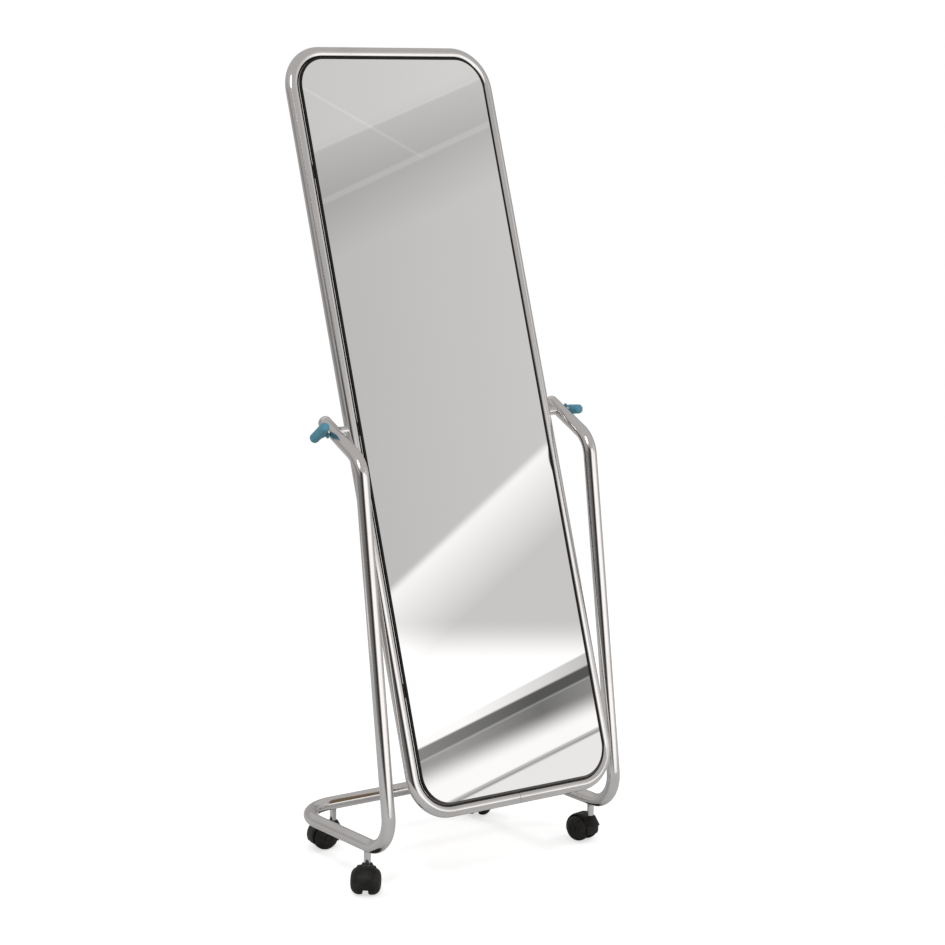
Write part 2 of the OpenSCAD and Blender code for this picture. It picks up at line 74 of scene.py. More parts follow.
class Shade:
    """A value in a material. Sums and products on it add Math nodes."""

    def __init__(self, tree, socket=None):
        self.tree = tree
        self.socket = socket

    def node(self, kind, settings=None, sockets=None, output=0):
        made = self.tree.nodes.new("ShaderNode" + kind)
        for key, value in (settings or {}).items():
            if key == "stops":
                ramp = made.color_ramp.elements
                ramp.remove(ramp[1])
                for place, level in value:
                    stop = ramp[0] if place == 0.0 else ramp.new(place)
                    stop.color = (level, level, level, 1.0)
            else:
                setattr(made, key, value)
        for key, value in (sockets or {}).items():
            if isinstance(value, Shade):
                self.tree.links.new(value.socket, made.inputs[key])
            else:
                made.inputs[key].default_value = value
        return Shade(self.tree, made.outputs[output] if made.outputs else None)

    def math(self, operation, first, second=0.0):
        return self.node("Math", {"operation": operation}, {0: first, 1: second})

    def __add__(self, other):
        return self.math("ADD", self, other)

    def __radd__(self, other):
        return self.math("ADD", other, self)

    def __sub__(self, other):
        return self.math("SUBTRACT", self, other)

    def __rsub__(self, other):
        return self.math("SUBTRACT", other, self)

    def __mul__(self, other):
        return self.math("MULTIPLY", self, other)

    def __rmul__(self, other):
        return self.math("MULTIPLY", other, self)

    def clamped(self):
        return self.math("MAXIMUM", self.math("MINIMUM", self, 1.0), 0.0)

    def step(self, edge, width):
        """0 below the edge and 1 above it, with a soft crossing."""
        return self.node(
            "MapRange", {"interpolation_type": "SMOOTHSTEP"},
            {0: self, 1: edge - width / 2, 2: edge + width / 2, 3: 0.0, 4: 1.0},
        )

    def mixed(self, first, second):
        """The first colour where this value is 0 and the second where it is 1."""
        colours = [c if isinstance(c, Shade) else (*c, 1.0) for c in (first, second)]
        sockets = {"Factor": self, 6: colours[0], 7: colours[1]}
        return self.node("Mix", {"data_type": "RGBA"}, sockets, output=2)


def seen_by(shade, *rays):
    """1 for the kinds of ray that are named and 0 for all the others."""
    total = shade.node("LightPath", output=rays[0])
    for kind in rays[1:]:
        total = total + shade.node("LightPath", output=kind)
    return total.clamped()


floor_radius = 2.4
floor_sides = 96
paper_white = (0.55, 0.55, 0.55, 1.0)
paper_in_metal = (0.52, 0.52, 0.52, 1.0)
paper_glow = 0.64

floor_mesh = bpy.data.meshes.new("studio_floor")
bm = bmesh.new()
bmesh.ops.create_circle(bm, cap_ends=True, segments=floor_sides, radius=floor_radius)
bm.to_mesh(floor_mesh)
bm.free()
floor = bpy.data.objects.new("studio_floor", floor_mesh)
bpy.context.scene.collection.objects.link(floor)

paper = bpy.data.materials.new("white_paper")
paper.use_nodes = True
paper.node_tree.nodes.clear()
shade = Shade(paper.node_tree)
matte = shade.node("BsdfDiffuse", sockets={"Color": paper_white})
to_the_eye = seen_by(shade, "Is Camera Ray", "Is Transmission Ray")
glow = shade.node("Emission", sockets={"Strength": to_the_eye * paper_glow})
lit = shade.node("AddShader", sockets={0: matte, 1: glow})
clear = shade.node("BsdfTransparent")
underside = shade.node("NewGeometry", output="Backfacing")
dim = shade.node("BsdfDiffuse", sockets={"Color": paper_in_metal})
in_metal = seen_by(shade, "Is Glossy Ray")
seen_paper = shade.node("MixShader", sockets={0: in_metal, 1: lit, 2: dim})
sheet = shade.node("MixShader", sockets={0: underside, 1: seen_paper, 2: clear})
shade.node("OutputMaterial", sockets={"Surface": sheet})
floor.data.materials.append(paper)


# ---------------------------------------------------------------- studio light and room
# A plain white surround. Polished parts also see a quiet room in it: a tiled ceiling, a
# pale wall, a tall window, and a shelf with a rail under it. Each edge of the room is a
# plane through the mirror, given by the direction it faces.

surround_light = 0.62
room_green = 0.978
room_blue = 0.968

world = bpy.data.worlds.new("studio_room")
bpy.context.scene.world = world
world.use_nodes = True
world.node_tree.nodes.clear()
shade = Shade(world.node_tree)
ray = shade.node("TexCoord", output="Generated")


def facing(direction):
    """How far the ray points to the side that a plane of the room faces."""
    return shade.node("VectorMath", {"operation": "DOT_PRODUCT"}, {0: ray, 1: direction}, "Value")


def under(plane):
    """How far the ray points below a plane of the room."""
    return 0.0 - facing(plane)


def line(distance, half_width):
    """A thin line along a plane's edge: 1 on it and 0 away from it."""
    return 1.0 - shade.math("ABSOLUTE", distance).step(half_width, half_width)


def over(base, mask, tone):
    """A tone of the room with another one laid over it where the mask is 1."""
    return base + mask * (tone - base)


# The walls in upright strips, as the tubes show them: a bright window in front, a dark
# doorway beside it, and plain wall all round the back. Places round the room are shares
# of a full turn, from the front round by the right.
wall_gain = 1.25
left_wall_tone = 0.42
left_foot_glow = 0.8
overhead = 0.50
room_floor = 0.34
round_lamp = (-0.64, -0.42, 0.643)
lamp_edge = 0.982
lamp_blur = 0.004
lamp_glare = 3.2

across = shade.math("ARCTAN2", facing((1.0, 0.0, 0.0)), facing((0.0, -1.0, 0.0)))
round_the_room = shade.math("FRACT", across * (1 / (2 * pi)) + 1.0)
strips = shade.node("ValToRGB", {"stops": (
    (0.00, 1.00), (0.12, 0.96), (0.15, 0.60), (0.20, 0.42), (0.26, 0.36), (0.32, 0.24),
    (0.40, 0.30), (0.50, 0.32), (0.58, 0.36), (0.62, 0.28), (0.66, 0.20), (0.73, 0.18),
    (0.79, 0.15), (0.83, 0.10), (0.865, 0.04), (0.90, 0.015), (0.915, 0.03), (0.94, 0.24),
    (0.962, 0.70), (0.975, 1.00),
)}, {0: round_the_room}) * wall_gain
height = facing((0.0, 0.0, 1.0))
left_foot = round_the_room.step(0.62, 0.05) * (1.0 - round_the_room.step(0.83, 0.05))
left_foot = left_foot * (1.0 - height.step(-0.17, 0.06))
around = strips + left_foot * left_foot_glow
left_wall = round_the_room.step(0.60, 0.05) * (1.0 - round_the_room.step(0.82, 0.04))
around = over(around, left_wall * height.step(0.15, 0.10), left_wall_tone)
around = over(around, height.step(0.40, 0.09), overhead)
around = over(around, 1.0 - height.step(-0.32, 0.16), room_floor)
around = around + facing(round_lamp).step(lamp_edge, lamp_blur) * lamp_glare

# What the leaning glass looks at: ceiling tiles above, then wall, window and shelf
ceiling_edge = (-0.3214, 0.3428, 0.8827)
tile_joint = (-0.3297, 0.3141, 0.8903)
cross_joint = (0.4206, 0.7236, 0.5472)
centre_line = (0.8114, 0.5266, -0.2538)
ceiling_tone = 0.592
ceiling_slope = 1.1
joint_shadow = 0.125
joint_shadow_width = 0.022
joint_blur = 0.004
joint_half_width = 0.0011
joint_gleam = 0.07
tile_lift = 0.085
tile_blur = 0.003
tile_half_width = 0.0005
tile_gleam = 0.05

from_centre = facing(centre_line)
from_joint = facing(tile_joint)
above_wall = from_joint.step(0.0, joint_blur)
above_edge = facing(ceiling_edge).step(0.0, tile_blur)
shadow = (1.0 - shade.math("ABSOLUTE", from_joint) * (1 / joint_shadow_width)).clamped()
upper = ceiling_tone + from_centre * ceiling_slope
upper = upper - shadow * joint_shadow + above_edge * tile_lift
upper = upper + line(from_joint, joint_half_width) * joint_gleam
upper = upper + line(facing(ceiling_edge), tile_half_width) * tile_gleam
upper = upper + above_wall * line(facing(cross_joint), tile_half_width) * tile_gleam

# The window below the wall is brightest at its upper edge and again below a slanting line
window_edge = (-0.4780, 0.0112, 0.8783)
bright_line = (0.1232, 0.4339, 0.8925)
window_tone = 0.62
window_glow = 0.42
window_fade = 37.0
window_blur = 0.004
slant_drop = 0.0052
slant_blur = 0.018
slant_glow = 0.52

under_window = under(window_edge)
window = window_tone + (1.0 - (under_window * window_fade).clamped()) * window_glow
window = window + under(bright_line).step(slant_drop, slant_blur) * slant_glow
seen = over(upper, under_window.step(0.0, window_blur), window)

# A shelf under the window: its pale top, its dark front, and the gloom that fades below it
shelf_top = (-0.2477, 0.1380, 0.9590)
shelf_front = (-0.2291, 0.1483, 0.9620)
shelf_foot = (-0.2316, 0.1412, 0.9625)
shelf_blur = 0.0008
top_glare = 1.07
top_shift = 0.01
top_slope = 9.0
front_blur = 0.001
front_middle = 0.165
front_slope = 3.4
front_least = 0.10
foot_drop = 0.0004
foot_half_width = 0.0004
foot_gleam = 0.12
gloom_centre = 0.021
gloom_least = 0.18
gloom_slope = 4.6
gloom_most = 0.35
gloom_slant = 0.05
gloom_depth = 0.0078
gloom_blur = 0.010
below_gloom = 1.05

top_tone = (1.0 - (from_centre + top_shift) * top_slope).clamped() * top_glare
seen = over(seen, under(shelf_top).step(0.0, shelf_blur), top_tone)
front_tone = shade.math("MAXIMUM", front_middle - from_centre * front_slope, front_least)
seen = over(seen, under(shelf_front).step(0.0, front_blur), front_tone)
under_shelf = under(shelf_foot) - foot_drop
from_darkest = shade.math("ABSOLUTE", from_centre - gloom_centre)
gloom = shade.math("MINIMUM", gloom_least + from_darkest * gloom_slope, gloom_most)
past_gloom = (under_shelf - from_centre * gloom_slant).step(gloom_depth, gloom_blur)
gloom = over(gloom, past_gloom, below_gloom)
seen = over(seen, under_shelf.step(0.0, shelf_blur), gloom)
seen = seen + line(under_shelf, foot_half_width) * foot_gleam

# A dark rail crosses the wall under the shelf, and the wall is pale below it
rail_line = (-0.2152, 0.1296, 0.9679)
rail_half_width = 0.0009
rail_dark = 0.52
low_wall_tone = 0.88

under_rail = under(rail_line)
seen = over(seen, under_rail.step(0.0, shelf_blur), low_wall_tone)
seen = seen - line(under_rail, rail_half_width) * rail_dark

# The glass looks into a narrow cone of the room, and bent tube sees everything else
glass_view = (0.5803, -0.7302, 0.3608)
cone_edge = 0.977
cone_blur = 0.012
room = over(around, facing(glass_view).step(cone_edge, cone_blur), seen)
room_colour = shade.node("CombineColor", sockets={
    0: room, 1: room * room_green, 2: room * room_blue})

glossy = seen_by(shade, "Is Glossy Ray")
plain = seen_by(shade, "Is Diffuse Ray")
backdrop = shade.node("Mix", {"data_type": "RGBA"}, {
    "Factor": glossy, 6: (1.0, 1.0, 1.0, 1.0), 7: room_colour}, output=2)
strength = 1.0 - plain * (1.0 - surround_light)
surround = shade.node("Background", sockets={"Color": backdrop, "Strength": strength})
shade.node("OutputWorld", sockets={"Surface": surround})

mirror_middle = Vector((0.0, 0.0, 0.7))
for name, place, size, watts in (
    ("front_softbox", (-2.2, -2.6, 3.4), 0.8, 62.0),
    ("side_softbox", (2.8, -0.8, 2.6), 0.6, 24.0),
    ("back_softbox", (-0.6, 3.0, 2.8), 0.6, 20.0),
):
    lamp = bpy.data.lights.new(name, "AREA")
    lamp.shape = "SQUARE"
    lamp.size = size
    lamp.energy = watts
    lamp_object = bpy.data.objects.new(name, lamp)
    bpy.context.scene.collection.objects.link(lamp_object)
    aim = mirror_middle - Vector(place)
    lamp_object.location = place
    lamp_object.rotation_euler = aim.to_track_quat("-Z", "Y").to_euler()
    lamp_object.visible_glossy = False


# ---------------------------------------------------------------- stand
# One 25 mm steel tube, bent cold and chromed: from the end of one arm down the upright,
# back along the floor, across behind the mirror, and up the other side the same way.

stand_tube_radius = 12.5 * MM
stand_half_width = 260 * MM
tilt_axis_height = 827 * MM
arm_slope = radians(25.5)
arm_reach = 100 * MM
arm_tail = 29 * MM
base_height = 86 * MM
front_reach = 196 * MM
rear_reach = 131 * MM
elbow_bend = 57 * MM
front_bend = 60 * MM
rear_bend = 86 * MM
tube_sides = 48
bend_steps = 18
end_easing = 0.9 * MM
end_collar = 3 * MM
sharp_angle = radians(38)
merge_distance = 0.001 * MM


def new_piece(name, bm, material, body, smooth=True):
    """A finished piece from its bmesh, riding on a body of the frame."""
    bmesh.ops.recalc_face_normals(bm, faces=bm.faces)
    for face in bm.faces:
        face.smooth = smooth
    mesh = bpy.data.meshes.new(name)
    bm.to_mesh(mesh)
    bm.free()
    mesh.set_sharp_from_angle(angle=sharp_angle)
    mesh.materials.append(material)
    piece = bpy.data.objects.new(name, mesh)
    bpy.context.scene.collection.objects.link(piece)
    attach(piece, body)
    return piece


def sweep(bm, ring, corners, bends):
    """Draws a ring of edges along a route of straight runs with a bend at each corner."""
    place = corners[0]
    for before, corner, after, bend in zip(corners, corners[1:], corners[2:], bends):
        inward = (corner - before).normalized()
        outward = (after - corner).normalized()
        angle = inward.angle(outward)
        setback = bend * tan(angle / 2)
        bend_start = corner - inward * setback
        ring = pull(bm, ring, bend_start - place)
        towards = (outward - inward * inward.dot(outward)).normalized()
        bent = bmesh.ops.spin(
            bm, geom=ring, cent=bend_start + towards * bend, axis=inward.cross(outward),
            angle=angle, steps=bend_steps, use_duplicate=False,
        )
        ring = [item for item in bent["geom_last"] if isinstance(item, bmesh.types.BMEdge)]
        place = corner + outward * setback
    return pull(bm, ring, corners[-1] - place)


def pull(bm, ring, move):
    """Extrudes a ring of edges by a straight move and returns the new ring."""
    drawn = bmesh.ops.extrude_edge_only(bm, edges=ring)["geom"]
    moved = {item for item in drawn if isinstance(item, bmesh.types.BMVert)}
    bmesh.ops.translate(bm, verts=list(moved), vec=move)
    return [item for item in drawn
            if isinstance(item, bmesh.types.BMEdge) and moved.issuperset(item.verts)]


def bent_tube(radius, corners, bends):
    """A closed-ended round tube along a route."""
    bm = bmesh.new()
    start = Matrix.Translation(corners[0])
    heading = (corners[1] - corners[0]).to_track_quat("Z", "Y").to_matrix().to_4x4()
    bmesh.ops.create_circle(
        bm, cap_ends=True, segments=tube_sides, radius=radius, matrix=start @ heading)
    first_collar = (corners[1] - corners[0]).normalized() * end_collar
    last_collar = (corners[-1] - corners[-2]).normalized() * end_collar
    ring = pull(bm, list(bm.edges), first_collar)
    stops = [corners[0] + first_collar, *corners[1:-1], corners[-1] - last_collar]
    last = pull(bm, sweep(bm, ring, stops, bends), last_collar)
    bmesh.ops.contextual_create(bm, geom=last)
    ends = [edge for edge in bm.edges if any(len(face.verts) > 4 for face in edge.link_faces)]
    bmesh.ops.bevel(
        bm, geom=ends, offset=end_easing, offset_type="OFFSET", segments=2, affect="EDGES",
        profile=0.5, material=-1, clamp_overlap=True)
    return bm


def turned(profile, place, steps=tube_sides):
    """A lathe shape: (radius, height) points spun round +Z, then put in its place."""
    bm = bmesh.new()
    points = [bm.verts.new((radius, 0.0, along)) for radius, along in profile]
    for first, second in zip(points, points[1:]):
        bm.edges.new((first, second))
    bmesh.ops.spin(
        bm, geom=bm.verts[:] + bm.edges[:], cent=(0, 0, 0), axis=(0, 0, 1),
        angle=2 * pi, steps=steps, use_merge=True, use_duplicate=False)
    bmesh.ops.remove_doubles(bm, verts=bm.verts, dist=merge_distance)
    bmesh.ops.recalc_face_normals(bm, faces=bm.faces)
    bmesh.ops.transform(bm, matrix=place, verts=bm.verts)
    return bm


def surface(name, colour, metallic=0.0, roughness=0.5, **constants):
    """A new material with its shader, whose fixed values sit on the shader's own sockets."""
    material = bpy.data.materials.new(name)
    material.use_nodes = True
    nodes = material.node_tree.nodes
    shader = nodes["Principled BSDF"]
    shader.inputs["Base Color"].default_value = (*colour, 1.0)
    shader.inputs["Metallic"].default_value = metallic
    shader.inputs["Roughness"].default_value = roughness
    for key, value in constants.items():
        shader.inputs[key.replace("_", " ")].default_value = value
    shade = Shade(material.node_tree)
    where = shade.node("TexCoord", output="Object")
    return material, shade, where, shader


def feed(shader, name, value):
    """Links a value to a socket of the shader."""
    value.tree.links.new(value.socket, shader.inputs[name])


def noise(shade, where, scale, detail=3.0, rough=0.55):
    """Cloudy noise, mostly between 0.3 and 0.7."""
    return shade.node("TexNoise", {}, {
        "Vector": where, "Scale": scale, "Detail": detail, "Roughness": rough})


def bump(shade, height, strength, distance):
    """The normal of a surface with fine relief."""
    return shade.node("Bump", {}, {
        "Height": height, "Strength": strength, "Distance": distance})


# Chrome over brushed steel: a warm grey, a little cloudy, with faint hand marks that dull it
chrome, shade, where, shader = surface("chrome_plate", (0.80, 0.79, 0.78), 1.0, 0.14)
marks = noise(shade, where, 9.0, 4.0)
grain = noise(shade, where, 420.0, 2.0)
smears = marks.step(0.58, 0.25)
feed(shader, "Roughness", 0.08 + smears * 0.06 + grain * 0.03)
feed(shader, "Base Color", smears.mixed((0.80, 0.785, 0.775), (0.73, 0.715, 0.705)))
feed(shader, "Normal", bump(shade, noise(shade, where, 60.0, 2.0), 0.05, 0.0005))

elbow = Vector((stand_half_width, -arm_reach * cos(arm_slope),
                tilt_axis_height - arm_reach * sin(arm_slope)))
arm_way = Vector((0.0, cos(arm_slope), sin(arm_slope)))
arm_end = elbow + arm_way * (arm_reach + arm_tail)
front_foot = Vector((stand_half_width, -front_reach, base_height))
rear_corner = Vector((stand_half_width, rear_reach, base_height))
right_half = [arm_end, elbow, front_foot, rear_corner]
left_half = [Vector((-p.x, p.y, p.z)) for p in reversed(right_half)]
bends = [elbow_bend, front_bend, rear_bend]
stand = new_piece(
    "stand_frame", bent_tube(stand_tube_radius, right_half + left_half, bends + bends[::-1]),
    chrome, "stand")
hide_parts("stand_tube")

# Each arm ends in a pressed chrome cap: a low dome with a fine step where it meets the tube
cap_dome = 11 * MM
cap_lip = 1.2 * MM
cap_spigot = stand_tube_radius * 0.9
cap_seat = stand_tube_radius * 0.96
cap_chamfer = 0.35 * MM
dome_steps = 9
dome = [(stand_tube_radius * cos(a), cap_lip + (cap_dome - cap_lip) * sin(a))
        for a in (pi / 2 * i / dome_steps for i in range(dome_steps))]
cap_profile = [
    (0.0, -cap_lip), (cap_spigot, -cap_lip), (cap_seat, 0.0),
    (stand_tube_radius, cap_chamfer), *dome, (0.0, cap_dome)]
for side, name in ((1, "right"), (-1, "left")):
    end = Vector((side * arm_end.x, arm_end.y, arm_end.z))
    place = Matrix.Translation(end) @ arm_way.to_track_quat("Z", "Y").to_matrix().to_4x4()
    cap = new_piece("arm_cap_" + name, turned(cap_profile, place), chrome, "stand")
    if side == 1:
        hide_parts("arm_caps")


# ---------------------------------------------------------------- mirror loop
# The frame of the mirror: one more length of the same tube, bent to a long rounded
# rectangle and joined over a hidden sleeve in the middle of the bottom, where a hairline shows.

loop_radius = 12.5 * MM
loop_half_width = 220 * MM
loop_half_height = 705 * MM
loop_bend = 70 * MM
seam_half_gap = 0.2 * MM
rest_lean = radians(18.5)
in_mirror = Matrix.Translation((0, 0, tilt_axis_height)) @ Matrix.Rotation(-rest_lean, 4, "X")

loop_corners = [in_mirror @ Vector((x, 0.0, z)) for x, z in (
    (seam_half_gap, -loop_half_height), (loop_half_width, -loop_half_height),
    (loop_half_width, loop_half_height), (-loop_half_width, loop_half_height),
    (-loop_half_width, -loop_half_height), (-seam_half_gap, -loop_half_height))]
loop = new_piece(
    "mirror_loop", bent_tube(loop_radius, loop_corners, [loop_bend] * 4),
    chrome, "mirror")
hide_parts("loop_tube")


# ---------------------------------------------------------------- glass
# Silvered float glass. It is flat and clean, with the slight grey of its silvering and a
# very faint haze of wiping marks.

silver, shade, where, shader = surface("silvered_glass", (0.93, 0.935, 0.935), 1.0, 0.0)
haze = noise(shade, where, 5.0, 5.0)
feed(shader, "Roughness", 0.004 + haze.step(0.6, 0.3) * 0.012)
feed(shader, "Base Color", haze.mixed((0.935, 0.94, 0.94), (0.915, 0.92, 0.92)))
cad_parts["mirror_glass"].material_slots[0].material = silver


# ---------------------------------------------------------------- rubber edge
# A black rubber channel pushed over the edge of the glass all the way round. Its front lip
# is rolled, it stands a little proud of the tube, and its bottom run is a blotchy lighter grey.

tube_gap = 0.05 * MM
rubber_front = loop_radius + 1.3 * MM
rubber_back = 7.8 * MM
rubber_wall = 1.5 * MM
rubber_lip = 4.2 * MM
lip_thick = 1.0 * MM
lip_rounding = 0.9 * MM
pale_height = 180 * MM
pale_fade = 50 * MM
panel_inset = ((loop_radius + tube_gap) ** 2 - rubber_back ** 2) ** 0.5
panel_half_width = loop_half_width - panel_inset
panel_half_height = loop_half_height - panel_inset
panel_corner = loop_bend - panel_inset

rubber, shade, where, shader = surface(
    "black_rubber", (0.010, 0.010, 0.010), 0.0, 0.6, Specular_IOR_Level=0.2)
bloom = noise(shade, where, 35.0, 4.0)
fine = noise(shade, where, 900.0, 2.0)
height = shade.node("SeparateXYZ", {}, {"Vector": where}, output=2)
# The bottom run of the channel is a blotchy lighter grey, fading out above this height.
paler = (1.0 - height.step(pale_height, pale_fade)) * (0.75 + bloom * 0.5)
black = bloom.step(0.55, 0.4).mixed((0.007, 0.007, 0.007), (0.016, 0.015, 0.014))
feed(shader, "Base Color", paler.clamped().mixed(black, (0.13, 0.125, 0.12)))
feed(shader, "Roughness", 0.52 + bloom * 0.18)
feed(shader, "Normal", bump(shade, fine, 0.25, 0.0002))

bm = bmesh.new()
section = [bm.verts.new(in_mirror @ Vector((panel_half_width - inset, -front, 0.0)))
           for inset, front in (
    (0.0, rubber_back), (rubber_lip, rubber_back), (rubber_lip, rubber_back + lip_thick),
    (rubber_wall, rubber_back + lip_thick), (rubber_wall, rubber_front - lip_thick),
    (rubber_lip, rubber_front - lip_thick), (rubber_lip, rubber_front), (0.0, rubber_front))]
bm.faces.new(section)
bmesh.ops.bevel(
    bm, geom=[section[0], section[6], section[7]], offset=lip_rounding, offset_type="OFFSET",
    segments=4, affect="VERTICES", profile=0.5, material=-1, clamp_overlap=True)
ring = bm.edges[:]
bmesh.ops.delete(bm, geom=bm.faces[:], context="FACES_ONLY")
route = [in_mirror @ Vector((x * panel_half_width, 0.0, z * panel_half_height))
         for x, z in ((1, 0), (1, 1), (-1, 1), (-1, -1), (1, -1), (1, 0))]
sweep(bm, ring, route, [panel_corner] * 4)
bmesh.ops.remove_doubles(bm, verts=bm.verts, dist=merge_distance)
edge = new_piece("rubber_channel", bm, rubber, "mirror")
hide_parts("rubber_edge")


# ---------------------------------------------------------------- backing board
# Tempered hardboard behind the glass: pressed brown fibre, with the fine woven print of the
# press on its rough side.

board, shade, where, shader = surface("hardboard", (0.30, 0.20, 0.12), 0.0, 0.75)
fibre = shade.node("Mapping", {}, {"Vector": where, "Scale": (1.0, 1.0, 0.35)})
flecks = noise(shade, fibre, 260.0, 4.0, 0.7)
clouds = noise(shade, where, 7.0, 4.0)
tone = (flecks * 0.65 + clouds * 0.35).clamped()
feed(shader, "Base Color", tone.step(0.5, 0.5).mixed((0.20, 0.125, 0.07), (0.37, 0.255, 0.155)))
feed(shader, "Roughness", 0.62 + flecks * 0.25)
weave = [shade.node("TexWave", {"bands_direction": way}, {
    "Vector": where, "Scale": 190.0, "Distortion": 0.4}, output=1) for way in "XZ"]
print_depth = weave[0] * weave[1] + flecks * 0.6
feed(shader, "Normal", bump(shade, print_depth, 0.5, 0.0004))
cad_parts["backing_board"].material_slots[0].material = board


# ---------------------------------------------------------------- lugs, pins and screws
# Zinc plated steel: the lugs that hold the panel to the loop, the sleeve and screws of the
# loop's joint, the studs and bushes, the axles, and the pan head screws with a cross recess.

zinc, shade, where, shader = surface("zinc_plate", (0.56, 0.57, 0.58), 1.0, 0.32)
spangle = noise(shade, where, 140.0, 3.0)
brushed = shade.node("Mapping", {}, {"Vector": where, "Scale": (1.0, 1.0, 14.0)})
lines = noise(shade, brushed, 300.0, 2.0)
feed(shader, "Base Color", spangle.mixed((0.47, 0.48, 0.50), (0.66, 0.67, 0.66)))
feed(shader, "Roughness", 0.24 + spangle * 0.14 + lines * 0.1)
feed(shader, "Normal", bump(shade, lines, 0.15, 0.0002))
for name in (
    "loop_sleeve", "loop_screws", "panel_lugs", "loop_bushes", "pivot_studs",
    "knob_insert_left", "knob_insert_right", "arm_bushes", "stem_bushes",
    "axle_front_left", "axle_front_right", "axle_rear_left", "axle_rear_right",
):
    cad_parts[name].material_slots[0].material = zinc

screw_head_radius = 4.0 * MM
screw_head_rise = 2.2 * MM
screw_head_sides = 32
head_shares = (
    (0.0, 0.0), (0.97, 0.0), (1.0, 0.2), (0.97, 0.55), (0.82, 0.88), (0.55, 1.0), (0.0, 1.0))
recess_half_width = 0.5 * MM
recess_reach = 2.0 * MM
recess_depth = 1.1 * MM
square_on = 0.9


def pan_head(place):
    """The head of a screw, seated on the XY plane, with its cross recess."""
    profile = [(screw_head_radius * out, screw_head_rise * up) for out, up in head_shares]
    bm = turned(profile, Matrix(), screw_head_sides)
    for normal in ((1, 0, 0), (0, 1, 0)):
        for cut in (-recess_reach, -recess_half_width, recess_half_width, recess_reach):
            bmesh.ops.bisect_plane(
                bm, geom=bm.verts[:] + bm.edges[:] + bm.faces[:],
                plane_co=Vector(normal) * cut, plane_no=normal)
    recess = []
    for face in bm.faces:
        x, y, z = (abs(value) for value in face.calc_center_median())
        on_top = face.normal.z > square_on and z > screw_head_rise / 2
        if on_top and min(x, y) < recess_half_width and max(x, y) < recess_reach:
            recess.append(face)
    sunk = bmesh.ops.extrude_face_region(bm, geom=recess)["geom"]
    bmesh.ops.delete(bm, geom=recess, context="FACES")
    bmesh.ops.translate(
        bm, verts=[item for item in sunk if isinstance(item, bmesh.types.BMVert)],
        vec=(0, 0, -recess_depth))
    bmesh.ops.transform(bm, matrix=place, verts=bm.verts)
    return bm


def joined(meshes):
    """Several bmeshes as one."""
    whole = bmesh.new()
    for part in meshes:
        held = bpy.data.meshes.new("held")
        part.to_mesh(held)
        part.free()
        whole.from_mesh(held)
        bpy.data.meshes.remove(held)
    return whole


lug_back = 3.8 * MM
lug_step = 480 * MM
lug_screw_x = 193 * MM
to_back = Matrix.Rotation(-pi / 2, 4, "X")
screw_seats = [
    in_mirror @ Matrix.Translation((side * lug_screw_x, -lug_back, step * lug_step)) @ to_back
    for side in (-1, 1) for step in (-1, 0, 1)]
panel_heads = joined([pan_head(seat) for seat in screw_seats])
heads = new_piece("panel_screw_heads", panel_heads, zinc, "mirror", smooth=False)
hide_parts("panel_screws")


# ---------------------------------------------------------------- tilt pivots
# A chromed spacer sleeve keeps each arm clear of the loop, and a chromed washer sits
# between the arm and its clamp knob. The stems of the casters are chromed as well.

for name in ("pivot_spacers", "washer_left", "washer_right", "caster_stems"):
    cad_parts[name].material_slots[0].material = chrome


# ---------------------------------------------------------------- clamp knobs
# Moulded teal wing knobs with a threaded insert: a round foot, a short neck, and a wing bar
# with full round ends to turn by hand.

petrol, shade, where, shader = surface("petrol_plastic", (0.055, 0.21, 0.29), 0.0, 0.42)
orange_peel = noise(shade, where, 600.0, 2.0)
rubbed = noise(shade, where, 45.0, 3.0).step(0.55, 0.35)
feed(shader, "Base Color", rubbed.mixed((0.065, 0.235, 0.320), (0.085, 0.270, 0.355)))
feed(shader, "Roughness", 0.34 + rubbed * 0.16)
feed(shader, "Normal", bump(shade, orange_peel, 0.12, 0.0003))

knob_x = 275.9 * MM
wing_rise = 13 * MM
wing_thick = 18 * MM
wing_length = 52 * MM
neck_half = 6 * MM
neck_steps = ((-1.5 * MM, 0.92), (-2.2 * MM, 1.0), (-0.8 * MM, 1.5), (-0.6 * MM, 1.12))

# The plain bar that the wing is rounded from. It is larger than the wing by what the
# rounding takes off.
cage_thick = wing_thick * 1.075
cage_length = wing_length * 1.035
cage_cut = cage_length * 0.36


def wing_knob(turn, side):
    """A wing knob on the outside of one arm, its bar turned about the tilt axis."""
    bm = bmesh.new()
    bar = Matrix.Diagonal((cage_thick, cage_length, cage_thick, 1.0))
    bmesh.ops.create_cube(bm, size=1.0, matrix=Matrix.Translation((wing_rise, 0, 0)) @ bar)
    for cut in (-cage_cut, -neck_half, neck_half, cage_cut):
        bmesh.ops.bisect_plane(
            bm, geom=bm.verts[:] + bm.edges[:] + bm.faces[:],
            plane_co=(0, cut, 0), plane_no=(0, 1, 0))
    foot = [face for face in bm.faces
            if face.normal.x < -square_on and abs(face.calc_center_median().y) < neck_half]
    for move, spread in neck_steps:
        foot = bmesh.ops.extrude_discrete_faces(bm, faces=foot)["faces"]
        middle = foot[0].calc_center_median()
        bmesh.ops.translate(bm, verts=foot[0].verts[:], vec=(move, 0, 0))
        bmesh.ops.scale(
            bm, verts=foot[0].verts[:], vec=(1.0, spread, spread),
            space=Matrix.Translation(-middle))
    place = Matrix.Translation((knob_x, 0, tilt_axis_height)) @ Matrix.Rotation(turn, 4, "X")
    if side < 0:
        place = Matrix.Diagonal((-1, 1, 1, 1)) @ place
    bmesh.ops.transform(bm, matrix=place, verts=bm.verts)
    return bm


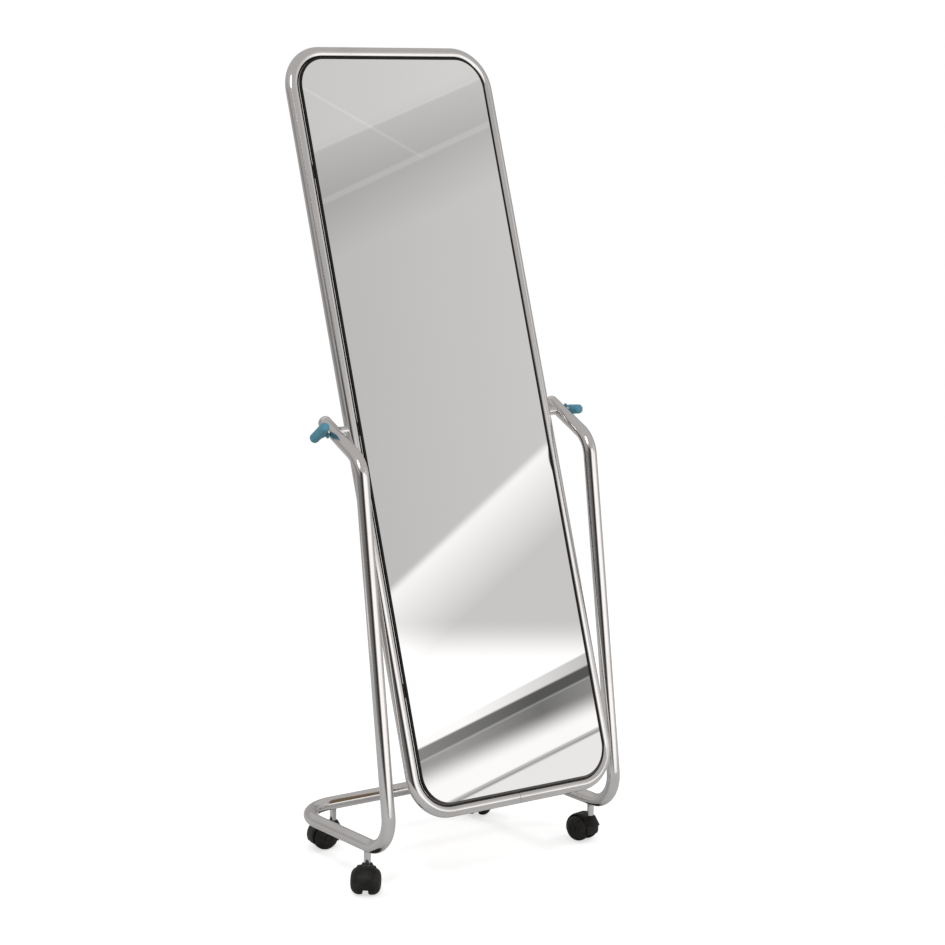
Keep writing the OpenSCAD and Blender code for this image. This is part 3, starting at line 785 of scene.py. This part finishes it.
for name, turn, side in (("right", radians(-8), 1), ("left", radians(-36), -1)):
    knob = new_piece(
        "wing_knob_" + name, wing_knob(turn, side), petrol, f"knob_{name}_body")
    rounding = knob.modifiers.new("rounding", "SUBSURF")
    rounding.levels = rounding.render_levels = 3
    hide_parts("knob_" + name)


# ---------------------------------------------------------------- casters
# Twin-wheel furniture casters moulded in black nylon. A hood on a middle web covers both
# wheels and swivels on the chromed stem.

wheel_radius = 25 * MM
trail = 20 * MM
web_half = 5.5 * MM
wheel_inner = 6.2 * MM
wheel_outer = 27.2 * MM
hood_radius = 28.7 * MM
hood_inside = 26.2 * MM
hood_rounding = 18.15 * MM
wheel_rounding = 14.84 * MM
hood_low = 15 * MM
hood_sides = 64
wheel_sides = 72
hood_corner_steps = 18
wheel_corner_steps = 9
neck_foot = hood_low + 20 * MM
neck_top = 52 * MM
stem_gap_radius = 4.4 * MM
front_stem_y = -120 * MM
rear_stem_x = 169 * MM

nylon, shade, where, shader = surface(
    "black_nylon", (0.010, 0.010, 0.009), 0.0, 0.42, Specular_IOR_Level=0.3)
texture = noise(shade, where, 750.0, 3.0)
paler = noise(shade, where, 55.0, 4.0).step(0.62, 0.3)
feed(shader, "Base Color", paler.mixed((0.008, 0.008, 0.007), (0.020, 0.020, 0.017)))
feed(shader, "Roughness", 0.38 + paler * 0.2 + texture * 0.06)
feed(shader, "Normal", bump(shade, texture, 0.35, 0.0003))

tread, shade, where, shader = surface(
    "wheel_nylon", (0.010, 0.010, 0.009), 0.0, 0.5, Specular_IOR_Level=0.35)
scuffs = noise(shade, where, 130.0, 5.0, 0.65)
worn = scuffs.step(0.55, 0.3)
feed(shader, "Base Color", worn.mixed((0.008, 0.008, 0.007), (0.024, 0.023, 0.020)))
feed(shader, "Roughness", 0.42 + worn * 0.25)
feed(shader, "Normal", bump(shade, scuffs, 0.3, 0.0003))


def rounded_corner(corner_radius, corner_along, rounding, steps):
    """Points round an outer corner of a lathe profile, from its side to its rim."""
    centre_radius = corner_radius - rounding
    centre_along = corner_along - rounding
    angles = [pi / 2 * i / steps for i in range(steps + 1)]
    return [(centre_radius + rounding * sin(a), centre_along + rounding * cos(a))
            for a in angles]


def caster_hood(place):
    """The web and its two side shells, spun round the axle, cut level above the floor."""
    corner = rounded_corner(hood_radius, wheel_outer, hood_rounding, hood_corner_steps)
    lip = [(radius, along) for radius, along in corner if radius > hood_inside + 0.3 * MM]
    half = [
        (0.0, web_half), (hood_inside - 1.5 * MM, web_half),
        (hood_inside, web_half + 1.5 * MM), (hood_inside, lip[0][1] - 0.2 * MM), *lip]
    profile = half + [(radius, -along) for radius, along in reversed(half)]
    on_axle = Matrix.Translation((trail, 0, wheel_radius)) @ Matrix.Rotation(-pi / 2, 4, "X")
    bm = turned(profile, on_axle, hood_sides)
    bmesh.ops.bisect_plane(
        bm, geom=bm.verts[:] + bm.edges[:] + bm.faces[:], plane_co=(0, 0, hood_low),
        plane_no=(0, 0, 1), clear_inner=True)
    rim = [edge for edge in bm.edges if edge.is_boundary]
    bmesh.ops.holes_fill(bm, edges=rim, sides=0)
    neck = turned([
        (stem_gap_radius, neck_foot), (18.4 * MM, 34 * MM), (15.3 * MM, 40 * MM),
        (12.8 * MM, 45 * MM), (11.1 * MM, 48.3 * MM), (9.9 * MM, 50.7 * MM),
        (9.2 * MM, neck_top - 0.5 * MM), (8.4 * MM, neck_top), (stem_gap_radius, neck_top),
        (stem_gap_radius, neck_foot)], Matrix())
    whole = joined([bm, neck])
    bmesh.ops.transform(whole, matrix=place, verts=whole.verts)
    return whole


def caster_wheel(place, side):
    """One wheel: crowned tread, dished face and a domed hub cap."""
    profile = [
        (0.0, wheel_inner), (9.0 * MM, wheel_inner), (9.6 * MM, wheel_inner + 0.8 * MM),
        (21.0 * MM, wheel_inner + 0.8 * MM), (21.6 * MM, wheel_inner), (23.6 * MM, wheel_inner),
        (24.6 * MM, wheel_inner + 0.8 * MM), (wheel_radius - 0.1 * MM, wheel_inner + 3 * MM),
        (wheel_radius, wheel_inner + 5.5 * MM)]
    profile += reversed(
        rounded_corner(wheel_radius, wheel_outer, wheel_rounding, wheel_corner_steps))
    profile += [
        (8.4 * MM, wheel_outer), (7.8 * MM, wheel_outer - 0.4 * MM),
        (7.5 * MM, wheel_outer - 1.6 * MM), (6.3 * MM, wheel_outer - 1.8 * MM),
        (5.9 * MM, wheel_outer - 0.8 * MM), (5.2 * MM, wheel_outer - 0.4 * MM),
        (2.6 * MM, wheel_outer - 0.1 * MM), (0.0, wheel_outer)]
    facing_out = Matrix.Rotation(-side * pi / 2, 4, "X")
    on_axle = Matrix.Translation((trail, 0, wheel_radius)) @ facing_out
    return turned(profile, place @ on_axle, wheel_sides)


for name, x, y, yaw in (
    ("front_left", -stand_half_width, front_stem_y, -131),
    ("front_right", stand_half_width, front_stem_y, 100),
    ("rear_left", -rear_stem_x, rear_reach, 168),
    ("rear_right", rear_stem_x, rear_reach, 40),
):
    place = Matrix.Translation((x, y, 0)) @ Matrix.Rotation(radians(yaw), 4, "Z")
    hood = new_piece("caster_hood_" + name, caster_hood(place), nylon, f"hood_{name}_body")
    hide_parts("hood_" + name)
    for side, letter in ((1, "a"), (-1, "b")):
        wheel = new_piece(
            f"caster_wheel_{name}_{letter}", caster_wheel(place, side), tread,
            f"wheel_{name}_{letter}_body")
        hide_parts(f"wheel_{name}_{letter}")
